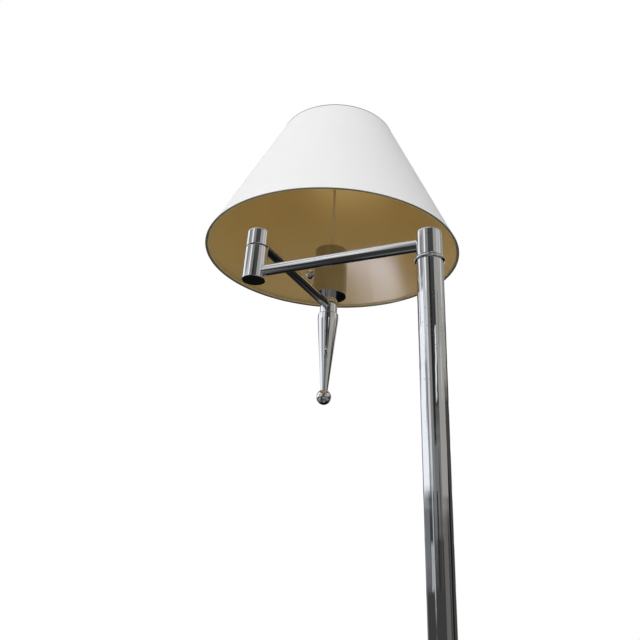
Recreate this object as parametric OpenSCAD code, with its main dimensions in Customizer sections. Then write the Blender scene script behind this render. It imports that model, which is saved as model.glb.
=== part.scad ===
// Two-section swing-arm floor lamp, in millimetres.
// The origin is the centre of the base's underside, +Z is up. At rest the lower arm runs
// along -X from the pole to the elbow, and the upper arm runs along +Y from the elbow to the lamp head.

/* [Arms] */
// Height of the lower arm's axis above the floor
arm_height = 1060; // [880:10:1280]
// Distance from the pole's axis to the elbow's axis
lower_arm_l = 193; // [150:1:260]
// Distance from the elbow's axis to the head's axis
upper_arm_l = 193; // [150:1:260]
// Outer diameter of both arm tubes
arm_d = 12; // [9:0.5:14]
// Wall of both arm tubes
arm_wall = 1.2; // [0.8:0.1:2]
// Height of the upper arm's axis above the lower arm's axis
arm_step = 38.5; // [36:0.5:60]
// Turn between the two arms at rest, where 0 is straight
elbow_bend = 90; // [30:5:150]

/* [Swivels] */
// Outer diameter of the knuckle and elbow barrels
barrel_d = 25; // [23:0.5:32]
// Wall of the knuckle and elbow barrels
barrel_wall = 3; // [2:0.5:4]
// Knuckle, from its lower face to the lower arm's axis
knuckle_below = 15.7; // [15:0.1:22]
// Knuckle, from the lower arm's axis to its top
knuckle_above = 12.5; // [11:0.5:20]
// Lower elbow barrel and its cap, from the underside to the lower arm's axis
elbow_below = 10; // [9.5:0.5:16]
// Upper elbow barrel, from its lower face to the upper arm's axis
elbow_mid = 9.6; // [9.5:0.1:14]
// Upper elbow barrel and its cap, from the upper arm's axis to the top
elbow_above = 10.7; // [10:0.1:16]
// Diameter of the pivot spigots
spigot_d = 10; // [8:0.5:11]
// Bore through the pivot spigots for the lead
spigot_bore_d = 6; // [5:0.5:7]
// Web of the barrel that the spigot turns in
web_t = 6; // [4:0.5:8]
// Swing of each swivel to either side of its middle position
swing = 165; // [120:5:165]

/* [Pole] */
// Diameter of the pole under its ring
pole_top_d = 25.5; // [23:0.5:32]
// Diameter of the pole at its foot
pole_foot_d = 16; // [15:0.5:25]
// Wall of the pole
pole_wall = 1.5; // [1:0.1:2]
// How early the pole draws in below its top, where 1 is a straight cone
pole_taper = 1.8; // [1:0.1:3]
// Diameter of the ring on top of the pole
ring_d = 29; // [27:0.5:36]
// Height of the ring on top of the pole
ring_h = 3.2; // [2:0.1:6]

/* [Base] */
// Diameter of the base
base_d = 280; // [240:5:340]
// Height of the base cover's upright rim
rim_h = 14; // [14:0.5:20]
// Radius of the round at the base cover's edge
rim_round = 5; // [3:0.5:8]
// Rise of the base cover from its edge to its middle
dome_h = 5; // [2:0.5:12]
// Thickness of the base cover
cover_t = 1.2; // [0.8:0.1:2]
// Thickness of the base pad
pad_t = 2; // [1.5:0.5:4]
// Diameter of the collar at the pole's foot
collar_d = 44; // [34:1:60]
// Height of the collar at the pole's foot
collar_h = 24; // [18:1:40]
// Bore of the cord bushing
cord_bore_d = 7; // [6:0.5:8]

/* [Head] */
// Diameter of the stem that carries the head
stem_d = 23.4; // [22:0.2:28]
// Stem, from the upper arm's axis down to the finial
stem_below = 12; // [11:0.5:18]
// Stem, from the upper arm's axis up to the socket cup
stem_above = 14.3; // [14:0.1:22]
// Diameter of the finial's shoulder
finial_d = 27.6; // [25:0.2:34]
// Height of the finial's straight shoulder
shoulder_h = 9; // [4:0.5:16]
// Diameter of the finial at its tip
finial_tip_d = 9.4; // [8:0.2:14]
// Length of the finial from shoulder to tip
finial_l = 104; // [70:1:140]
// Diameter of the ball at the finial's tip
ball_d = 19; // [14:0.5:26]
// Diameter of the socket cup
cup_d = 46.5; // [46:0.5:60]
// Height of the socket cup
cup_h = 69.5; // [66:0.5:90]
// Wall of the socket cup
cup_wall = 0.8; // [0.6:0.1:1.2]
// Diameter of the switch's ball knob
knob_d = 13.4; // [9:0.2:18]
// Height of the switch above the socket cup's underside
switch_h = 38.7; // [34:0.1:42]

/* [Shade] */
// Diameter of the shade at its bottom
shade_bottom_d = 356; // [300:2:420]
// Diameter of the shade at its top
shade_top_d = 174; // [140:2:240]
// Height of the shade
shade_h = 210; // [180:5:260]
// Height of the shade's bottom edge above the upper arm's axis
shade_lift = 73; // [60:1:90]
// Drop of the spider's middle below the shade's top edge
spider_drop = 27; // [20:1:50]
// Width of the harp between its wires
harp_w = 96; // [86:2:120]
// Diameter of the harp's wire
harp_wire_d = 3.2; // [2.6:0.2:4]
// Turn of the harp from the upper arm
harp_turn = 25; // [0:5:60]

/* [Hidden] */
$fn = 96;

// Fits
press = 0.02;   // radial gap of parts pressed, screwed or brazed together
running = 0.05; // radial gap of a spigot in its bush
seat = 0.05;    // gap of flat parts laid on each other
pass = 0.3;     // gap of parts that only pass through or by each other
joint_over = 0.03; // how much fuller than its wire a joint between two stretches is
joint_short = 0.1; // how far a stretch of wire ends before its joint

// Swivels: a spigot with a flat, a bush, a coned spring, a stop washer and a nut
spigot_r = spigot_d / 2;
key_depth = 0.8;
washer_t = 0.6;
washer_inset = 0.2;
bush_wall = 1.2;
spring_t = 0.7;
spring_h = 1.2;
stop_t = 1;
stop_play = 0.4; // turn left between a stop pin and its lug, in degrees
nut_h = 3.8;
nut_af = 13;
edge = 0.6;
joint_edge = 1; // round of a barrel's rim at its joint
barrel_r = barrel_d / 2;
cavity_r = barrel_r - barrel_wall;
bush_r = spigot_r + running + bush_wall;
stop_pin_d = 2;
stop_pin_x = cavity_r - stop_pin_d / 2 - 0.5;
stop_pin_sink = 2; // thickness left under the stop pin's hole
spring_r = stop_pin_x - stop_pin_d / 2 - pass;
lug_turn = 180 - swing - asin(stop_pin_d / 2 / stop_pin_x) - stop_play;
stack_h = spring_h + stop_t + nut_h + 2 * seat; // what the nut holds on the web
stop_pin_l = web_t - stop_pin_sink + spring_h + stop_t + 0.4;

// Barrel caps
cap_t = 2.5;
cap_plug_h = 1.8;
cap_round = 2;
lower_cap_t = 1.3;
lower_cap_lip = 0.4; // how far the elbow's lower cap stands out, and its round

// Arms
arm_r = arm_d / 2;
arm_gap = 0.2; // how far an arm's end stays outside the cavity that it opens into
knuckle_z = arm_height - knuckle_below;
head_z = arm_height + arm_step;
elbow_z = head_z - elbow_mid - washer_t - 2 * seat; // the lower elbow barrel's upper face
upper_web_t = 3;
spigot_head_h = 1.6;
spigot_head_out = 2.4;
elbow_at = [-lower_arm_l, 0];
head_turn = 180 - elbow_bend; // bearing of the upper arm
head_at = elbow_at + upper_arm_l * [cos(head_turn), sin(head_turn)];
lead_d = 4;
lead_gap = 0.4; // between the ends of two leads in a hollow spigot

// Bearings of the stop pins, away from their arms, and of the lugs that they meet.
// The elbow's middle position is straight, so at rest its lug has turned back by the bend.
knuckle_pin = 0;
knuckle_lug = 180;
elbow_pin = 180;
elbow_lug = -elbow_bend;

// Base
rim_lift = 1; // the cover's rim hangs this high above the floor
edge_z = rim_h + rim_round;
base_top = edge_z + dome_h;
cover_gap = 0.3;
weight_top = edge_z - cover_t - cover_gap;
weight_web = 4.5;
nut_room_r = 20;
nut_room_z = weight_top - weight_web;
nipple_d = 10;
nipple_bore_d = 7;
base_nut_h = 3.4;
base_nut_af = 17;
base_washer_t = 1.6;
nipple_z = nut_room_z - base_washer_t - base_nut_h - 1;
bushing_r = cord_bore_d / 2 + 1.5;
bushing_out = 1.6; // how far the cord bushing stands out of the rim
bushing_in = 7;    // and how far it reaches in
flange_out = 1.4;
cord_z = 7.4;

// Pole
pole_r = pole_top_d / 2;
foot_r = pole_foot_d / 2;
pole_z = base_top + seat + 9; // the pole stands this high in its collar
ring_z = knuckle_z - washer_t - 2 * seat - ring_h;
pole_top = ring_z - seat;
pole_bush_l = 18;
plug_l = 26;
pole_lead_z = nipple_z - lead_d / 2 - 0.7;

// Stem and finial, from the upper arm's axis
stem_wall = 3;
stem_web_t = 3;
stem_bore = stem_d / 2 - stem_wall;
stem_nut_z = stem_above - stem_web_t - nut_h - seat;
finial_plug_h = 4.4;
shoulder_round = 1;
ball_stud_r = 2;
ball_stud_l = 7;

// Lampholder, from the upper arm's axis
cup_z = stem_above;
cup_r = cup_d / 2;
cup_floor_t = 1.2;
cup_round = 0.8;
saddle_t = 1.5;
saddle_w = 15;
saddle_z = cup_z + cup_floor_t + seat;
holder_z = saddle_z + saddle_t + seat;
holder_r = 16.6;
holder_cap_h = 13;
holder_cap_round = 4;
hub_h = 6; // height of the threaded hub in the lampholder's cap
shell_t = 0.6;
body_gap = 0.2;
body_z = holder_z + 7;
chamber_r = 7;
switch_z = cup_z + switch_h;
thread_z = switch_z + 5.5; // the screw shell's floor
contact_well = 2.2; // the centre contact stands in a well below the screw shell
contact_h = 2.4;
holder_top = cup_z + cup_h - 2.5;
bulb_r = 13.3; // wall of the E26 screw shell
screw_shell_t = 0.5;
spindle_d = 4.4;
knob_gap = 2;
knob_collar_h = 0.8;

// Harp, from the upper arm's axis
wire_r = harp_wire_d / 2;
sleeve_wall = 0.7;
sleeve_z = holder_z + 6;
sleeve_h = 9;
leg_x = (holder_r + cup_r - cup_wall) / 2; // a leg passes midway between the holder and the cup
harp_bend_r = 30;
harp_flat = 12; // half the harp's straight top
harp_hub_r = 4.5;
harp_hub_h = harp_wire_d + 1;
harp_seat_r = 8;
harp_seat_t = 2;
stud_r = 3.1;
harp_nut_h = 15;

// Shade, from the upper arm's axis
shade_z = shade_lift;
shade_top_z = shade_lift + shade_h;
cover_wall = 0.8;
liner_wall = 0.5;
skin_gap = 0.03;
trim_t = 0.35;
trim_h = 1.6;
skin_low = trim_t + skin_gap; // the cover and the liner end inside the folded trims
skin_top = shade_h - skin_low;
ring_wire_d = 2.6;
ring_gap = 0.1;
spider_z = shade_top_z - spider_drop;
spider_wire_d = 2.6;
spider_arms = 3;
spider_washer_t = 1.4;
spider_washer_r = 15;
harp_top = spider_z - seat - harp_seat_t;
walls = cover_wall + liner_wall + skin_gap;
ring_in = ring_wire_d / 2 + walls + trim_t; // from the shade's face to a ring's axis
top_ring_h = shade_h - trim_h - ring_wire_d / 2 - ring_gap;
top_ring_r = shade_r(top_ring_h) - ring_in - skin_gap;
bottom_ring_h = trim_h + ring_wire_d / 2 + ring_gap;
bottom_ring_r = shade_r(bottom_ring_h) - ring_in - skin_gap;

// The shade cone's outer radius at a height above its bottom edge
function shade_r(h) = shade_bottom_d / 2 + (shade_top_d - shade_bottom_d) / 2 * h / shade_h;

// The pole's outer radius at a height
function pole_outer(z) = foot_r + (pole_r - foot_r) * pow((z - pole_z) / (pole_top - pole_z), pole_taper);

// Points on an arc about c, for profiles
function arc(c, r, from, to, n = 10) =
    [for (i = [0 : n]) c + r * [cos(from + (to - from) * i / n), sin(from + (to - from) * i / n)]];

module chrome() { color([0.78, 0.79, 0.80]) children(); }
module steel() { color([0.55, 0.56, 0.58]) children(); }
module brass() { color([0.72, 0.58, 0.30]) children(); }

// A tube from the XY plane up
module tube(outer, inner, h) {
    difference() {
        cylinder(r = outer, h = h);
        translate([0, 0, -1]) cylinder(r = inner, h = h + 2);
    }
}

// A hexagonal nut from the XY plane up
module hex_nut(af, bore, h) {
    difference() {
        intersection() {
            cylinder(d = af / cos(30), h = h, $fn = 6);
            rotate_extrude() polygon([[0, 0], [af / 2, 0], [af / 2 + 1.1, edge], [af / 2 + 1.1, h - edge],
                [af / 2, h], [0, h]]);
        }
        translate([0, 0, -1]) cylinder(r = bore, h = h + 2);
    }
}

// A round rod from one point to another
module rod(from, to, r) {
    d = to - from;
    l = norm(d);
    translate(from) rotate([0, acos(d[2] / l), atan2(d[1], d[0])]) cylinder(r = r, h = l);
}

// A round bend in the XY plane about the origin, between two bearings
module bend(bend_r, r, from, to) {
    far = 3 * bend_r;
    mid = (from + to) / 2;
    intersection() {
        rotate_extrude() translate([bend_r, 0]) circle(r = r);
        translate([0, 0, -far]) linear_extrude(2 * far) polygon([[0, 0],
            far * [cos(from), sin(from)], far * [cos(mid), sin(mid)], far * [cos(to), sin(to)]]);
    }
}

// A lead through a list of points
module lead(points) {
    color([0.75, 0.68, 0.5]) union() {
        for (i = [0 : len(points) - 2]) rod(points[i], points[i + 1], lead_d / 2);
        for (i = [1 : len(points) - 2]) translate(points[i]) sphere(r = lead_d / 2 + joint_over);
    }
}

module cylinder_from(z, top, r) { translate([0, 0, z]) cylinder(r = r, h = top - z); }

module at_head() { translate([head_at[0], head_at[1], head_z]) rotate([0, 0, head_turn]) children(); }
module at_elbow() { translate([elbow_at[0], elbow_at[1], 0]) children(); }

// ---- Swivels ----

// A barrel from the XY plane up, with rounded ends; the web is at its foot
module barrel(h, web, web_bore) {
    difference() {
        rotate_extrude() polygon(concat([[0, 0]], arc([barrel_r - joint_edge, joint_edge], joint_edge, -90, 0, 6),
            arc([barrel_r - 0.2, h - 0.2], 0.2, 0, 90, 2), [[0, h]]));
        translate([0, 0, web]) cylinder(r = cavity_r, h = h);
        translate([0, 0, -1]) cylinder(r = web_bore, h = h);
    }
}

// Cuts the seat of an arm tube through a barrel's wall, towards -X
module arm_seat() {
    difference() {
        children();
        rotate([0, -90, 0]) cylinder(r = arm_r + press, h = barrel_d);
    }
}

// The closed top of a barrel: a plug and a head with a round edge
module barrel_cap() {
    chrome() rotate_extrude() polygon(concat(
        [[0, -cap_plug_h], [cavity_r - press, -cap_plug_h], [cavity_r - press, 0], [barrel_r, 0]],
        arc([barrel_r - cap_round, cap_t - cap_round], cap_round, 0, 90, 8), [[0, cap_t]]));
}

// A bush with a plain bore, pressed in a web
module bush(l) {
    brass() tube(bush_r, spigot_r + running, l);
}

// A coned spring washer
module spring_washer() {
    steel() rotate_extrude() polygon([[spigot_r + pass, 0], [spring_r, spring_h - spring_t],
        [spring_r, spring_h], [spigot_r + pass, spring_t]]);
}

// The flat that keys a stop washer on its spigot
module key_flat(h) {
    translate([spigot_r - key_depth, -spigot_r - 1, 0]) cube([spigot_r, spigot_d + 2, h]);
}

// A washer keyed on the spigot, whose lug meets the stop pin at the ends of the swing
module stop_washer() {
    reach = cavity_r - pass;
    steel() difference() {
        union() {
            cylinder(r = spring_r, h = stop_t);
            intersection() {
                cylinder(r = reach, h = stop_t);
                linear_extrude(stop_t) polygon([[0, 0], 2 * reach * [cos(lug_turn), sin(lug_turn)],
                    2 * reach * [cos(lug_turn), -sin(lug_turn)]]);
            }
        }
        difference() {
            translate([0, 0, -1]) cylinder(r = spigot_r + press, h = stop_t + 2);
            translate([0, 0, -2]) key_flat(stop_t + 4);
        }
    }
}

module spigot_nut() { steel() hex_nut(nut_af, spigot_r + press, nut_h); }

module thrust_washer() {
    color([0.12, 0.12, 0.12]) tube(barrel_r - washer_inset, spigot_r + pass, washer_t);
}

module stop_pin() { steel() cylinder(d = stop_pin_d, h = stop_pin_l); }

// Places a stop pin on its bearing
module at_pin(bearing) { rotate([0, 0, bearing]) translate([stop_pin_x, 0, 0]) children(); }

// ---- Base ----

module base_pad() {
    color([0.1, 0.1, 0.1]) tube(base_d / 2 - cover_t - 1, nut_room_r, pad_t);
}

// A cast disc with a room for the nut, a channel for the lead and a round that follows the cover's
module base_weight() {
    r = base_d / 2 - rim_round;
    round = rim_round - cover_t - cover_gap;
    low = pad_t + seat;
    channel_w = 2 * (bushing_r + pass);
    color([0.16, 0.16, 0.17]) difference() {
        rotate_extrude() polygon(concat([[0, low], [r + round, low]], arc([r, rim_h], round, 0, 90, 8),
            [[0, weight_top]]));
        cylinder_from(-1, nut_room_z, nut_room_r);
        cylinder_from(-1, base_top, nipple_d / 2 + pass);
        translate([0, -channel_w / 2, -1]) cube([base_d, channel_w, cord_z + bushing_r + pass + 1]);
    }
}

// Half the cover's outline at an inset: the rim, the round and the dome
function cover_outline(low, inset) = concat(
    [[0, low], [base_d / 2 - inset, low]],
    arc([base_d / 2 - rim_round, rim_h], rim_round - inset, 0, 90, 8),
    [for (i = [1 : 12])
        [(base_d / 2 - rim_round) * (1 - i / 12), edge_z - inset + dome_h * sin(90 * i / 12)]]);

module base_cover() {
    chrome() difference() {
        rotate_extrude() polygon(cover_outline(rim_lift, 0));
        rotate_extrude() polygon(cover_outline(0, cover_t));
        cylinder_from(0, base_top + 1, nipple_d / 2 + pass);
        translate([base_d / 2 - 10, 0, cord_z]) rotate([0, 90, 0]) cylinder(r = bushing_r + pass, h = 20);
    }
}

module base_washer() {
    steel() translate([0, 0, nut_room_z - base_washer_t - seat])
        tube(nut_room_r - 4, nipple_d / 2 + pass, base_washer_t);
}

module base_nut() {
    steel() translate([0, 0, nut_room_z - base_washer_t - base_nut_h - 2 * seat])
        hex_nut(base_nut_af, nipple_d / 2 + press, base_nut_h);
}

module base_nipple() {
    steel() translate([0, 0, nipple_z])
        tube(nipple_d / 2, nipple_bore_d / 2, pole_z + pole_bush_l - nipple_z);
}

// A bush with a flange outside the rim and a bore for the supply lead
module cord_bushing() {
    flange_r = bushing_r + flange_out;
    l = bushing_in + bushing_out;
    color([0.08, 0.08, 0.08]) translate([base_d / 2 - bushing_in, 0, cord_z]) rotate([0, 90, 0])
        difference() {
            union() {
                cylinder(r = bushing_r, h = l);
                translate([0, 0, bushing_in + seat])
                    cylinder(r1 = flange_r, r2 = flange_r - 0.8, h = bushing_out - seat);
            }
            translate([0, 0, -1]) cylinder(d = cord_bore_d, h = l + 2);
        }
}

// ---- Pole ----

module pole_collar() {
    r = collar_d / 2;
    top_r = foot_r + 2.2;
    lip = 3;
    sweep = collar_h - lip;
    chrome() translate([0, 0, base_top + seat]) difference() {
        rotate_extrude() polygon(concat([[0, 0], [r, 0], [r, lip]],
            [for (i = [1 : 12]) [top_r + (r - top_r) * pow(1 - i / 12, 2.2), lip + sweep * i / 12]],
            [[0, collar_h]]));
        translate([0, 0, -1]) cylinder(r = nipple_d / 2 + pass, h = collar_h);
        cylinder_from(pole_z - base_top - seat, collar_h + 1, pole_outer(pole_z + collar_h) + press);
    }
}

module pole_bush() {
    steel() translate([0, 0, pole_z]) tube(foot_r - pole_wall - press, nipple_d / 2 + press, pole_bush_l);
}

// A drawn tube, bored straight at both ends for its plug and bush
module pole() {
    steps = 30;
    rows = [for (i = [0 : steps]) pole_z + (pole_top - pole_z) * i / steps];
    chrome() difference() {
        rotate_extrude() polygon(concat(
            [for (z = rows) [pole_outer(z), z]],
            [for (i = [steps : -1 : 0]) [pole_outer(rows[i]) - pole_wall, rows[i]]]));
        translate([0, 0, pole_top - plug_l]) cylinder(r = pole_r - pole_wall, h = plug_l + 1);
    }
}

// The turned plug in the pole's top, with the spigot that the knuckle turns on
module pole_plug() {
    top = knuckle_z + web_t + stack_h + edge;
    steel() difference() {
        union() {
            cylinder_from(pole_top - plug_l, pole_top, pole_r - pole_wall - press);
            cylinder_from(pole_top - 1, top, spigot_r);
        }
        cylinder_from(pole_top - plug_l - 1, top + 1, spigot_bore_d / 2);
        translate([0, 0, knuckle_z + web_t]) rotate([0, 0, knuckle_lug]) key_flat(stack_h + 2);
    }
}

module pole_ring() {
    r = ring_d / 2;
    round = ring_h / 2 - 0.1;
    chrome() translate([0, 0, ring_z]) rotate_extrude() polygon(concat(
        [[spigot_r + press, 0]], arc([r - round, round], round, -90, 0, 6),
        arc([r - round, ring_h - round], round, 0, 90, 6), [[spigot_r + press, ring_h]]));
}

module pole_lead() {
    lead([[base_d / 2 - bushing_in - 1, 0, cord_z], [nut_room_r + 10, 0, pole_lead_z], [0, 0, pole_lead_z],
        [0, 0, knuckle_z + web_t + stack_h]]);
}

// ---- Knuckle ----

module knuckle_washer() { translate([0, 0, knuckle_z - washer_t - seat]) thrust_washer(); }

module knuckle_spring() { translate([0, 0, knuckle_z + web_t + seat]) spring_washer(); }

module knuckle_stop_washer() {
    translate([0, 0, knuckle_z + web_t + spring_h + seat]) rotate([0, 0, knuckle_lug]) stop_washer();
}

module knuckle_nut() { translate([0, 0, knuckle_z + web_t + spring_h + stop_t + 2 * seat]) spigot_nut(); }

module knuckle_barrel() {
    chrome() difference() {
        translate([0, 0, arm_height]) arm_seat() translate([0, 0, -knuckle_below])
            barrel(knuckle_below + knuckle_above - cap_t, web_t, bush_r + press);
        translate([0, 0, knuckle_z + stop_pin_sink]) at_pin(knuckle_pin)
            cylinder(d = stop_pin_d + 2 * press, h = web_t);
    }
}

module knuckle_cap() { translate([0, 0, arm_height + knuckle_above - cap_t + seat]) barrel_cap(); }

module knuckle_bush() { translate([0, 0, knuckle_z]) bush(web_t); }

module knuckle_stop_pin() { translate([0, 0, knuckle_z + stop_pin_sink]) at_pin(knuckle_pin) stop_pin(); }

// ---- Lower arm and elbow ----

module lower_arm_tube() {
    chrome() translate([-cavity_r - arm_gap, 0, arm_height]) rotate([0, -90, 0])
        tube(arm_r, arm_r - arm_wall, lower_arm_l - 2 * (cavity_r + arm_gap));
}

// The barrel turned upside down, so its web is at the joint
module elbow_lower_barrel() {
    foot_z = arm_height - elbow_below + lower_cap_t;
    chrome() at_elbow() difference() {
        translate([0, 0, arm_height]) mirror([1, 0, 0]) arm_seat() translate([0, 0, elbow_z - arm_height])
            mirror([0, 0, 1]) barrel(elbow_z - foot_z, web_t, bush_r + press);
        translate([0, 0, elbow_z - web_t - stop_pin_sink]) at_pin(elbow_pin)
            cylinder(d = stop_pin_d + 2 * press, h = web_t);
    }
}

// A flat cap, a little wider than the barrel, that closes the elbow's underside
module elbow_lower_cap() {
    r = barrel_r + lower_cap_lip;
    chrome() at_elbow() translate([0, 0, arm_height - elbow_below]) rotate_extrude() polygon(concat([[0, 0]],
        arc([r - lower_cap_lip, lower_cap_lip], lower_cap_lip, -90, 0, 4), [[r, lower_cap_t - seat],
        [cavity_r - press, lower_cap_t - seat], [cavity_r - press, lower_cap_t + cap_plug_h],
        [0, lower_cap_t + cap_plug_h]]));
}

module elbow_bush() { at_elbow() translate([0, 0, elbow_z - web_t]) bush(web_t); }

module elbow_stop_pin() {
    at_elbow() translate([0, 0, elbow_z - stop_pin_sink - stop_pin_l]) at_pin(elbow_pin) stop_pin();
}

module lower_arm_lead() {
    lead([[0, 0, knuckle_z + web_t + stack_h + lead_gap], [0, 0, arm_height],
        [elbow_at[0], elbow_at[1], arm_height],
        [elbow_at[0], elbow_at[1], elbow_z - web_t - stack_h - lead_gap]]);
}

// ---- Upper arm ----

module elbow_washer() { at_elbow() translate([0, 0, elbow_z + seat]) thrust_washer(); }

// A hollow rivet whose head lies on the upper barrel's web
module elbow_spigot() {
    low = elbow_z - web_t - stack_h - edge;
    web_z = head_z - elbow_mid + upper_web_t;
    top = web_z + spigot_head_h;
    steel() at_elbow() difference() {
        union() {
            cylinder_from(low, top, spigot_r);
            cylinder_from(web_z + seat, top, spigot_r + spigot_head_out);
        }
        cylinder_from(low - 1, top + 1, spigot_bore_d / 2);
        translate([0, 0, low - 2 + edge]) rotate([0, 0, elbow_lug]) key_flat(stack_h + 2);
    }
}

module elbow_spring() {
    at_elbow() translate([0, 0, elbow_z - web_t - seat]) mirror([0, 0, 1]) spring_washer();
}

module elbow_stop_washer() {
    at_elbow() translate([0, 0, elbow_z - web_t - spring_h - stop_t - seat])
        rotate([0, 0, elbow_lug]) stop_washer();
}

module elbow_nut() { at_elbow() translate([0, 0, elbow_z - web_t - stack_h]) spigot_nut(); }

module elbow_upper_barrel() {
    chrome() at_elbow() translate([0, 0, head_z]) rotate([0, 0, head_turn + 180]) arm_seat()
        translate([0, 0, -elbow_mid]) barrel(elbow_mid + elbow_above - cap_t, upper_web_t, spigot_r + press);
}

module elbow_upper_cap() { at_elbow() translate([0, 0, head_z + elbow_above - cap_t + seat]) barrel_cap(); }

module upper_arm_tube() {
    chrome() at_elbow() translate([0, 0, head_z]) rotate([0, 0, head_turn])
        translate([cavity_r + arm_gap, 0, 0]) rotate([0, 90, 0])
            tube(arm_r, arm_r - arm_wall, upper_arm_l - cavity_r - stem_bore - 2 * arm_gap);
}

// ---- Stem and finial ----

module stem() {
    chrome() at_head() difference() {
        cylinder_from(-stem_below, stem_above, stem_d / 2);
        cylinder_from(-stem_below - 1, stem_above - stem_web_t, stem_bore);
        cylinder_from(0, stem_above + 1, nipple_d / 2 + press);
        rotate([0, -90, 0]) cylinder(r = arm_r + press, h = stem_d);
    }
}

module stem_nipple() {
    z = stem_nut_z - 0.5;
    steel() at_head() translate([0, 0, z]) tube(nipple_d / 2, nipple_bore_d / 2, body_z - z);
}

module stem_nut() {
    steel() at_head() translate([0, 0, stem_nut_z]) hex_nut(nut_af, nipple_d / 2 + press, nut_h);
}

// A turned taper with a shoulder, and a plug that screws into the stem
module finial() {
    r = finial_d / 2;
    chrome() at_head() translate([0, 0, -stem_below - seat]) difference() {
        rotate_extrude() polygon(concat(
            [[0, finial_plug_h], [stem_bore - press, finial_plug_h], [stem_bore - press, 0]],
            arc([r - shoulder_round, -shoulder_round], shoulder_round, 90, 0, 4),
            [[r, -shoulder_h], [finial_tip_d / 2, -finial_l], [0, -finial_l]]));
        cylinder_from(-finial_l - 1, -finial_l + ball_stud_l + 0.5, ball_stud_r + press);
    }
}

// A ball, cut flat where it meets the finial's tip, with its stud
module finial_ball() {
    r = ball_d / 2;
    flat = sqrt(r * r - pow(finial_tip_d / 2, 2));
    chrome() at_head() translate([0, 0, -stem_below - finial_l - 2 * seat - flat]) union() {
        intersection() {
            sphere(r = r);
            cylinder_from(-r - 1, flat, r + 1);
        }
        cylinder(r = ball_stud_r, h = flat + ball_stud_l);
    }
}

// ---- Lampholder ----

module socket_cup() {
    chrome() at_head() difference() {
        translate([0, 0, cup_z]) rotate_extrude() polygon(concat(
            [[nipple_d / 2 + press, 0]], arc([cup_r - cup_round, cup_round], cup_round, -90, 0, 6),
            arc([cup_r - cup_wall / 2, cup_h - cup_wall / 2], cup_wall / 2, 0, 180, 6),
            arc([cup_r - cup_round, cup_round + cup_floor_t - cup_wall], cup_round - cup_wall, 0, -90, 4),
            [[nipple_d / 2 + press, cup_floor_t]]));
        switch_hole(spindle_d / 2 + 1);
    }
}

// The hole of the switch's spindle, towards the head's +Y side
module switch_hole(r) {
    translate([0, 0, switch_z]) rotate([-90, 0, 0]) cylinder(r = r, h = cup_d);
}

// A drawn cap with a threaded hub
module holder_cap() {
    hub_r = nipple_d / 2 + 3;
    corner = [holder_r - holder_cap_round, holder_cap_round];
    brass() at_head() translate([0, 0, holder_z]) rotate_extrude() polygon(concat(
        arc(corner, holder_cap_round, -90, 0, 6),
        [[holder_r, holder_cap_h], [holder_r - shell_t, holder_cap_h]],
        arc(corner, holder_cap_round - shell_t, 0, -90, 6),
        [[hub_r, shell_t], [hub_r, hub_h], [nipple_d / 2 + press, hub_h], [nipple_d / 2 + press, 0]]));
}

// The moulded body: the switch's chamber below, and the sleeve of the screw shell above
module holder_body() {
    r = holder_r - shell_t - body_gap;
    color([0.1, 0.09, 0.08]) at_head() difference() {
        cylinder_from(body_z, holder_top - 0.5, r);
        cylinder_from(thread_z, holder_top, bulb_r + screw_shell_t + body_gap);
        cylinder_from(thread_z - contact_well, thread_z + 1, chamber_r - 1);
        cylinder_from(body_z - 1, body_z + 5, chamber_r);
        switch_hole(spindle_d / 2 + running);
        // recess of the terminal screws, on the side away from the switch
        translate([-3, -r - 1, body_z - 1]) cube([6, 5, 12]);
    }
}

module holder_shell() {
    low = holder_z + holder_cap_h + seat;
    brass() at_head() difference() {
        translate([0, 0, low]) tube(holder_r, holder_r - shell_t, holder_top - low);
        switch_hole(spindle_d / 2 + 0.6);
    }
}

// The threaded shell that takes the bulb, with a turned-in floor
module screw_shell() {
    brass() at_head() translate([0, 0, thread_z + seat]) difference() {
        cylinder(r = bulb_r + screw_shell_t, h = holder_top - thread_z - 1.5);
        cylinder_from(screw_shell_t, cup_h, bulb_r);
        cylinder_from(-1, 5, chamber_r);
    }
}

module centre_contact() {
    brass() at_head() translate([0, 0, thread_z - contact_well + seat]) union() {
        cylinder(r = 5, h = 0.6);
        cylinder(r1 = 2.5, r2 = 1.8, h = contact_h);
    }
}

module upper_arm_lead() {
    lead([[elbow_at[0], elbow_at[1], elbow_z - web_t - stack_h], [elbow_at[0], elbow_at[1], head_z],
        [head_at[0], head_at[1], head_z], [head_at[0], head_at[1], head_z + body_z + 4]]);
}

// ---- Switch ----

module switch_spindle() {
    steel() at_head() translate([0, 0, switch_z]) rotate([-90, 0, 0])
        translate([0, 0, 5]) cylinder(d = spindle_d, h = cup_r + knob_gap + 4 - 5);
}

module switch_knob() {
    r = knob_d / 2;
    chrome() at_head() translate([0, cup_r + knob_gap + r, switch_z]) rotate([-90, 0, 0]) difference() {
        union() {
            sphere(r = r);
            translate([0, 0, -r - knob_collar_h]) cylinder(d = spindle_d + 2.4, h = r);
        }
        translate([0, 0, -r - knob_collar_h - 1]) cylinder(r = spindle_d / 2 + press, h = knob_collar_h + 5);
    }
}

// ---- Harp ----

module at_harp() { at_head() rotate([0, 0, harp_turn]) children(); }

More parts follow.
